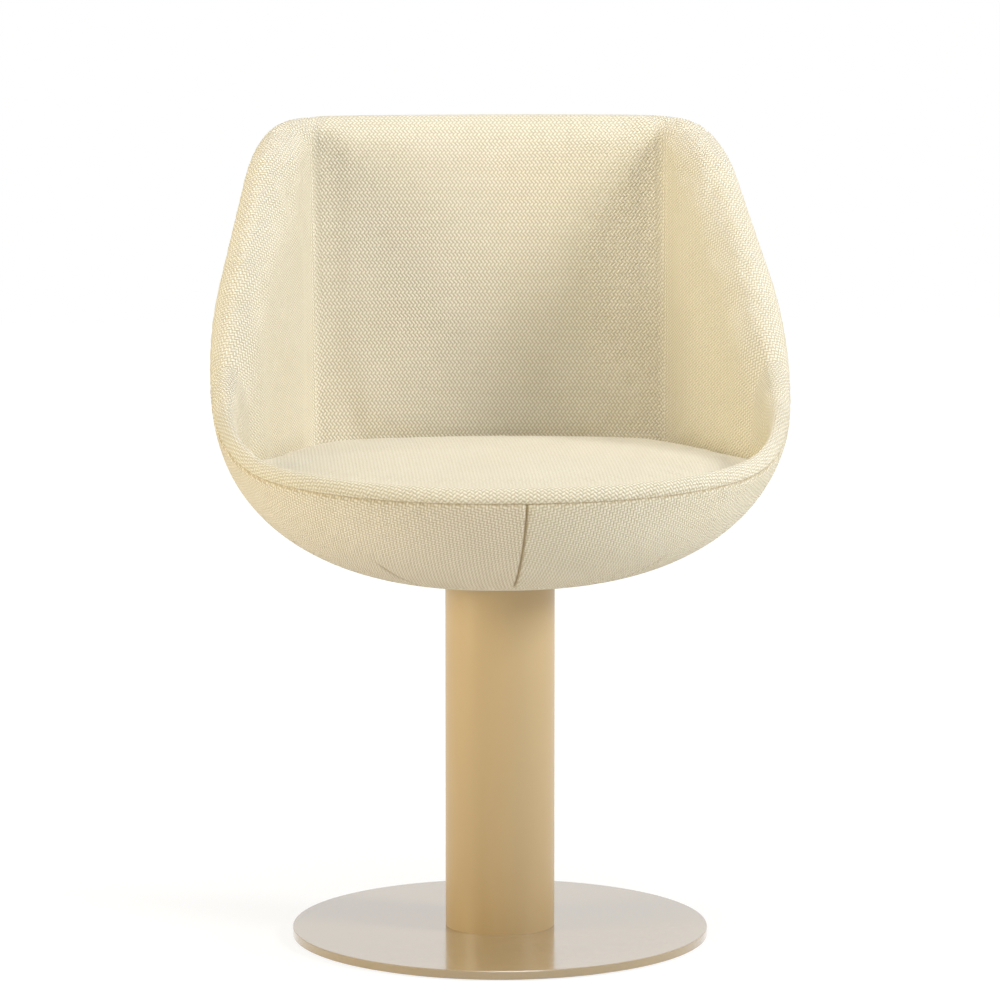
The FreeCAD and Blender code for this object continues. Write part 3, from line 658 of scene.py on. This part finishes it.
def seat():
    """The seat's cover: a crowned sheet whose edge tucks into the crease or under the lip."""
    near_edge = np.linspace(0, SEAT_EDGE_SHARE, SEAT_EDGE_ROWS + 1)[:-1]
    shares = np.concatenate((near_edge, np.linspace(SEAT_EDGE_SHARE, SEAT_LAST_SHARE, SEAT_ROWS)))
    crease_bottom = CREASE_Z - CREASE_DEPTH
    columns = []
    for place in PLACES:
        closed = smooth(rim_z(place), *CREASE_RIM_Z)
        edge = inner_point(place, SEAT_TOP_Z)
        reach = hypot(edge[0], edge[1])
        tuck = edge * (1 + SEAT_TUCK / reach)
        under_lip = seat_level(edge[0], edge[1]) - SEAT_UNDER_LIP
        column = [(tuck[0], tuck[1], mix(under_lip, crease_bottom, closed))]
        for share in shares:
            x, y = edge[0] * (1 - share), edge[1] * (1 - share)
            level = seat_level(x, y)
            near = min(share * reach / CREASE_RADIUS, 1.0)
            drop = (level - crease_bottom) * (1 - sqrt(1 - (1 - near) ** 2))
            column.append((x, y, level - drop * closed))
        columns.append(np.array(column))
    grid = closed_round(columns)
    middle = np.array([[(0.0, 0.0, seat_level(0, 0))]] * len(grid))
    weave_grid = np.concatenate((grid, middle), axis=1)
    inward = distances(grid, 1)
    move = swelling(grid, smooth(inward, *FREE_FROM_EDGE), True)
    grid = np.concatenate((grid + move, middle + move.mean(axis=0)[-1]), axis=1)
    weave = np.stack((weave_grid[..., 1] - WIDEST_Y, -weave_grid[..., 0]), axis=2)
    return grid_object("seat_cover", grid, weave, closed=True)


# Cover under the bowl


def dish():
    """The round cover under the bowl, from its seam to the hole for the column."""
    radii = np.linspace(DISH_RADIUS, BOWL_HOLE, DISH_ROWS)
    grid = closed_round([np.array([hole_point(place, r) for r in radii]) for place in PLACES])
    weave = grid[..., :2].copy()
    grid[..., 2] += SEAM_DEPTH * edge_fall(distances(grid, 1), SEAM_WIDTH)
    return grid_object("dish_cover", grid, weave, closed=True)


# Materials


# Colours as they look on screen: the weave and the gaps in it, the seams' painted shade, and the
# paint.
# The left panel's cream is warmer and darker as painted warm light, and the plate's paint darker as
# painted shade
CREAM, CREAM_GAP = (249, 243, 226), (214, 203, 170)
# A warmer, darker copy of the cream for the left panel: painted warm light on that side
LEFT_CREAM_PAINTED_WARM_LIGHT, LEFT_GAP_PAINTED_WARM_LIGHT = (248, 240, 222), (210, 196, 164)
SEAM_PAINTED_SHADE = (176, 156, 116)
PAINT = (195, 170, 127)
# The plate's paint is the column's paint made darker: painted shade, as the plate lies under the
# bowl
PLATE_PAINT_SHADED = (176, 156, 122)

# Weave: half the lattice's pitch each way, the grains on it, and how it lies on the outer panels
GRAIN_ACROSS = 0.00195
GRAIN_DOWN = 0.0034
GRAIN_HALF_LENGTH = 0.0026
GRAIN_HALF_WIDTH = 0.0012
GRAIN_SLANT = radians(52)
GRAIN_FULLNESS = 0.6
GRAIN_SHINE = 0.12
BIAS = radians(38)
WEAVE_RELIEF = 0.0011
WEAVE_STRENGTH = 0.9
WEAVE_ROUGHNESS = 0.92
WEAVE_WANDER = 0.0012
# Noises: scale and detail
WANDER_NOISE = (60.0, 2.0)
FIBRE_NOISE = (1800.0, 1.0)
PATCH_NOISE = (9.0, 3.0)
FIBRE_RELIEF, FIBRE_SHADE = 0.18, 0.14
PATCH_SHADE = 0.25
SHADE_OFFSET = 0.13

# Paint, plastic, wood and steel
MOTTLE_NOISE = (9.0, 4.0)
FINE_DETAIL = 2.0
FINE_SHARE = 0.3
MOTTLE_OFFSET = 0.15
MOTTLE_ROUGHNESS, FINE_ROUGHNESS = 0.10, 0.05
WEAR_FROM, WEAR_GAIN = 0.53, 4.0
COAT_STRENGTH = 0.35


class Nodes:
    """A short way to build a material's nodes."""

    def __init__(self, name):
        self.material = bpy.data.materials.new(name)
        self.material.use_nodes = True
        self.tree = self.material.node_tree
        self.shader = self.tree.nodes["Principled BSDF"]

    def add(self, kind, inputs=None, output=0, **settings):
        """A node's output, with its inputs linked or set and its settings made."""
        node = self.tree.nodes.new(kind)
        for key, value in settings.items():
            setattr(node, key, value)
        for key, value in (inputs or {}).items():
            if isinstance(value, bpy.types.NodeSocket):
                self.tree.links.new(value, node.inputs[key])
            else:
                node.inputs[key].default_value = value
        return node.outputs[output]

    def math(self, operation, *values, clamp=False):
        inputs = dict(enumerate(values))
        return self.add("ShaderNodeMath", inputs, operation=operation, use_clamp=clamp)

    def vector(self, operation, *values, output=0):
        inputs = dict(enumerate(values))
        return self.add("ShaderNodeVectorMath", inputs, output, operation=operation)

    def noise(self, place, scale_and_detail, output="Fac", flat=False):
        scale, detail = scale_and_detail
        inputs = {"Vector": place, "Scale": scale, "Detail": detail}
        dimensions = "2D" if flat else "3D"
        return self.add("ShaderNodeTexNoise", inputs, output, noise_dimensions=dimensions)

    def blend(self, share, low, high):
        """Two colours mixed. A mix node's colours are its inputs 6 and 7 and its output 2."""
        return self.add("ShaderNodeMix", {0: share, 6: low, 7: high}, 2, data_type="RGBA")

    def set(self, **inputs):
        """Link or set the material's inputs."""
        for key, value in inputs.items():
            socket = self.shader.inputs[key.replace("_", " ")]
            if isinstance(value, bpy.types.NodeSocket):
                self.tree.links.new(value, socket)
            else:
                socket.default_value = value


def linear(red, green, blue):
    """A colour given as it looks on screen, 0 to 255, in the renderer's linear values."""
    values = [c / 255 for c in (red, green, blue)]
    values = [c / 12.92 if c <= 0.04045 else ((c + 0.055) / 1.055) ** 2.4 for c in values]
    return (*values, 1.0)


def fabric(name, light, dark, turn=0.0):
    """A two-way basket weave: slanted grains on a staggered lattice, drawn in the cloth's plane."""
    n = Nodes(name)
    cloth = n.add("ShaderNodeUVMap", uv_map="cloth")
    wander = n.vector("SUBTRACT", n.noise(cloth, WANDER_NOISE, "Color", True), (0.5, 0.5, 0.5))
    wander = n.add("ShaderNodeVectorMath", {0: wander, "Scale": WEAVE_WANDER}, operation="SCALE")
    moved = n.vector("ADD", cloth, wander)
    place = n.add("ShaderNodeMapping", {"Vector": moved, "Rotation": (0, 0, turn)})
    cell = (GRAIN_ACROSS, GRAIN_DOWN, 1)
    grains = []
    for sign in (1, -1):
        moved = n.vector("ADD", place, (0, 0, 0) if sign > 0 else (GRAIN_ACROSS, GRAIN_DOWN, 0))
        local = n.vector("WRAP", moved, cell, tuple(-c for c in cell))
        size = (GRAIN_HALF_LENGTH, GRAIN_HALF_WIDTH, 1)
        inputs = {"Vector": local, "Rotation": (0, 0, sign * GRAIN_SLANT), "Scale": size}
        local = n.add("ShaderNodeMapping", inputs, vector_type="TEXTURE")
        flat = n.vector("MULTIPLY", local, (1, 1, 0))
        away = n.vector("DOT_PRODUCT", flat, flat, output="Value")
        grains.append(n.math("SUBTRACT", 1.0, away, clamp=True))
    grain = n.math("POWER", n.math("MAXIMUM", *grains), GRAIN_FULLNESS)
    fibre = n.noise(cloth, FIBRE_NOISE, flat=True)
    patch = n.noise(cloth, PATCH_NOISE, flat=True)
    relief = n.math("MULTIPLY_ADD", fibre, FIBRE_RELIEF, grain)
    shade = n.math("MULTIPLY_ADD", fibre, FIBRE_SHADE, grain)
    shade = n.math("MULTIPLY_ADD", patch, PATCH_SHADE, shade)
    shade = n.math("SUBTRACT", shade, SHADE_OFFSET, clamp=True)
    # seam marks the seams' lines: the weave's relief flattens there
    seam = n.add("ShaderNodeAttribute", output="Fac", attribute_name="seam")
    relief = n.math("MULTIPLY", relief, n.math("SUBTRACT", 1.0, seam, clamp=True))
    bump = {"Height": relief, "Strength": WEAVE_STRENGTH, "Distance": WEAVE_RELIEF}
    bump = n.add("ShaderNodeBump", bump)
    rough = n.math("MULTIPLY_ADD", grain, -GRAIN_SHINE, WEAVE_ROUGHNESS)
    # The seams' lines are painted darker: painted shade for their grooves
    colour = n.blend(seam, n.blend(shade, dark, light), linear(*SEAM_PAINTED_SHADE))
    n.set(Base_Color=colour, Roughness=rough, Normal=bump)
    n.set(Sheen_Weight=0.12, Sheen_Roughness=0.5, Specular_IOR_Level=0.2)
    return n.material


def coat(name, colour, roughness, grain=900.0, rise=0.00004, metal=0.0, shades=0.03, clear=0.0):
    """Paint, plastic, wood or machined steel: faint mottling, a fine grain and slight wear."""
    n = Nodes(name)
    place = n.add("ShaderNodeTexCoord", output="Object")
    fine = n.noise(place, (grain, FINE_DETAIL))
    wide = n.noise(place, MOTTLE_NOISE)
    shade = n.math("MULTIPLY_ADD", fine, FINE_SHARE, wide)
    worn = n.add("ShaderNodeNewGeometry", output="Pointiness")
    worn = n.math("SUBTRACT", worn, WEAR_FROM, clamp=True)
    worn = n.math("MULTIPLY", worn, WEAR_GAIN, clamp=True)
    shade = n.math("ADD", n.math("SUBTRACT", shade, MOTTLE_OFFSET, clamp=True), worn, clamp=True)
    dark = tuple(c * (1 - shades) for c in colour[:3]) + (1,)
    light = tuple(min(c * (1 + shades), 1) for c in colour[:3]) + (1,)
    rough = n.math("MULTIPLY_ADD", wide, MOTTLE_ROUGHNESS, roughness - 0.05)
    rough = n.math("MULTIPLY_ADD", fine, FINE_ROUGHNESS, rough)
    bump = n.add("ShaderNodeBump", {"Height": fine, "Strength": COAT_STRENGTH, "Distance": rise})
    n.set(Base_Color=n.blend(shade, dark, light), Roughness=rough, Normal=bump, Metallic=metal)
    n.set(Coat_Weight=clear, Coat_Roughness=0.12)
    return n.material


def finish_nodes():
    """Materials of the CAD nodes that stay."""
    column = coat("column_paint", linear(*PAINT), 0.36)
    # A darker copy of the column's paint: painted shade on the plate
    plate = coat("plate_paint_shaded", linear(*PLATE_PAINT_SHADED), 0.16, clear=1.0)
    steel = coat("machined_steel", linear(170, 170, 168), 0.35, 300.0, metal=1.0)
    zinc = coat("zinc_steel", linear(190, 192, 196), 0.3, 300.0, metal=1.0)
    plastic = coat("bearing_plastic", linear(232, 230, 220), 0.5)
    wood = coat("plywood", linear(205, 170, 122), 0.7, 120.0, 0.0002, shades=0.25)
    looks = {
        "column_tube": column,
        "base_plate": plate,
        "base_glide": coat("glide_film", linear(226, 222, 214), 0.6),
        "base_bolts": zinc,
        "plate_bolts": zinc,
        "plate_washers": zinc,
        "tee_nuts": zinc,
        "upper_bush": plastic,
        "lower_bush": plastic,
        "thrust_washer": plastic,
        "seat_board": wood,
        "shell": coat("moulded_shell", linear(62, 62, 64), 0.55),
    }
    for name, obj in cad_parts.items():
        obj.data.materials.clear()
        obj.data.materials.append(looks.get(name, steel))


# Pieces


def dress():
    """The sewn covers, which stand for the soft solids. Right is where x > 0."""
    light, dark = linear(*CREAM), linear(*CREAM_GAP)
    cream = fabric("cream_weave", light, dark)
    right = fabric("cream_bias_right", light, dark, BIAS)
    # The left panel's warmer, darker cream is painted warm light on that side
    left = fabric("cream_bias_left_painted_warm_light", linear(*LEFT_CREAM_PAINTED_WARM_LIGHT), linear(*LEFT_GAP_PAINTED_WARM_LIGHT), -BIAS)
    pieces = (
        (panel("outer_panel_right", 1), "outer_cover_right", right),
        (panel("outer_panel_left", -1), "outer_cover_left", left),
        (arm_and_back(), "arm_back_pad", cream),
        (seat(), "seat_cushion", cream),
        (dish(), "bottom_cover", cream),
    )
    for obj, node, material in pieces:
        obj.data.materials.append(material)
        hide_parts(node)
        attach(obj, "seat")


# Studio

# The floor's glow rises from FLOOR_GLOW to white between two distances from the chair's axis,
# and FLOOR_SHADOW is what shadows can take away from it
FLOOR_HALF = 6.0
FLOOR_WHITE = (0.9, 0.9, 0.9, 1)
FLOOR_GLOW = 0.86
GLOW_FROM, GLOW_TO = 0.5, 2.0
FLOOR_SHADOW = 0.22
WORLD_COLOUR = (1.0, 0.92, 0.72, 1)
AMBIENT = 0.21
# Lamps: power, size, place, what they point at, and colour
LAMPS = {
    "key": (55, 0.9, (2.50, -1.20, 1.60), (0, 0, 0.5), (1.0, 1.0, 1.0)),
    "fill": (62, 1.6, (-2.98, -1.08, 1.20), (0, 0, 0.45), (1.0, 0.89, 0.66)),
    "overhead": (46, 1.6, (0.2, -0.3, 3.2), (0, 0, 0.5), (0.98, 1.0, 1.1)),
}
CAMERA_AZIMUTH = radians(-3.3)
CAMERA_DISTANCE = 4.8
CAMERA_Z = 1.100
CAMERA_AIM_Z = 0.435
SENSOR_WIDTH = 36.0
FOCAL_LENGTH = 177.5


def lamp(name, energy, size, place, aim, colour):
    """A round area lamp that points at aim."""
    data = bpy.data.lights.new(name, "AREA")
    data.energy = energy
    data.shape = "DISK"
    data.size = size
    data.color = colour
    obj = bpy.data.objects.new(name, data)
    bpy.context.collection.objects.link(obj)
    obj.location = place
    obj.rotation_euler = (Vector(aim) - Vector(place)).to_track_quat("-Z", "Y").to_euler()


def white_to_the_eye(tree, lit, plain):
    """A mix of two shaders: lit for light that falls on the object, plain for what is seen."""
    rays = tree.nodes.new("ShaderNodeLightPath")
    seen = rays.outputs["Is Camera Ray"]
    for name in ("Is Glossy Ray", "Is Transmission Ray"):
        node = tree.nodes.new("ShaderNodeMath")
        node.operation = "MAXIMUM"
        tree.links.new(seen, node.inputs[0])
        tree.links.new(rays.outputs[name], node.inputs[1])
        seen = node.outputs[0]
    mixed = tree.nodes.new("ShaderNodeMixShader")
    tree.links.new(seen, mixed.inputs[0])
    tree.links.new(lit, mixed.inputs[1])
    tree.links.new(plain, mixed.inputs[2])
    return mixed.outputs[0]


def studio():
    """A white floor and background, a soft key light and gentle fill."""
    half = FLOOR_HALF
    corners = [(-half, -half, 0), (half, -half, 0), (half, half, 0), (-half, half, 0)]
    mesh = bpy.data.meshes.new("floor")
    mesh.from_pydata(corners, [], [(0, 1, 2, 3)])
    floor = bpy.data.objects.new("floor", mesh)
    bpy.context.collection.objects.link(floor)
    n = Nodes("floor_white")
    n.set(Base_Color=FLOOR_WHITE, Roughness=0.9, Specular_IOR_Level=0.0)
    away = n.vector("LENGTH", n.add("ShaderNodeTexCoord", output="Object"), output="Value")
    limits = {"From Min": GLOW_FROM, "From Max": GLOW_TO, "To Min": FLOOR_GLOW, "To Max": 1.0}
    strength = n.add("ShaderNodeMapRange", {"Value": away, **limits})
    glow = n.add("ShaderNodeEmission", {"Strength": strength})
    faint = n.add("ShaderNodeBsdfDiffuse", {"Color": (FLOOR_SHADOW, FLOOR_SHADOW, FLOOR_SHADOW, 1)})
    plain = n.add("ShaderNodeAddShader", {0: glow, 1: faint})
    out = n.tree.nodes["Material Output"]
    n.tree.links.new(white_to_the_eye(n.tree, n.shader.outputs[0], plain), out.inputs[0])
    mesh.materials.append(n.material)
    world = bpy.data.worlds.new("studio")
    bpy.context.scene.world = world
    world.use_nodes = True
    tree = world.node_tree
    around = tree.nodes["Background"]
    around.inputs["Color"].default_value = WORLD_COLOUR
    around.inputs["Strength"].default_value = AMBIENT
    white = tree.nodes.new("ShaderNodeBackground")
    white.inputs["Color"].default_value = (1, 1, 1, 1)
    white.inputs["Strength"].default_value = 1.0
    surface = white_to_the_eye(tree, around.outputs[0], white.outputs[0])
    tree.links.new(surface, tree.nodes["World Output"].inputs[0])
    for name, settings in LAMPS.items():
        lamp(name, *settings)


def camera():
    """The photograph's view: from the front, a little to the left and from above."""
    away = sin(CAMERA_AZIMUTH) * CAMERA_DISTANCE, -cos(CAMERA_AZIMUTH) * CAMERA_DISTANCE
    place = Vector((*away, CAMERA_Z))
    aim = Vector((0, 0, CAMERA_AIM_Z))
    data = bpy.data.cameras.new("camera")
    data.sensor_width = SENSOR_WIDTH
    data.lens = FOCAL_LENGTH
    obj = bpy.data.objects.new("camera", data)
    bpy.context.collection.objects.link(obj)
    obj.location = place
    obj.rotation_euler = (aim - place).to_track_quat("-Z", "Y").to_euler()
    bpy.context.scene.camera = obj


finish_nodes()
dress()
studio()
camera()
bpy.context.scene.view_settings.view_transform = "Standard"
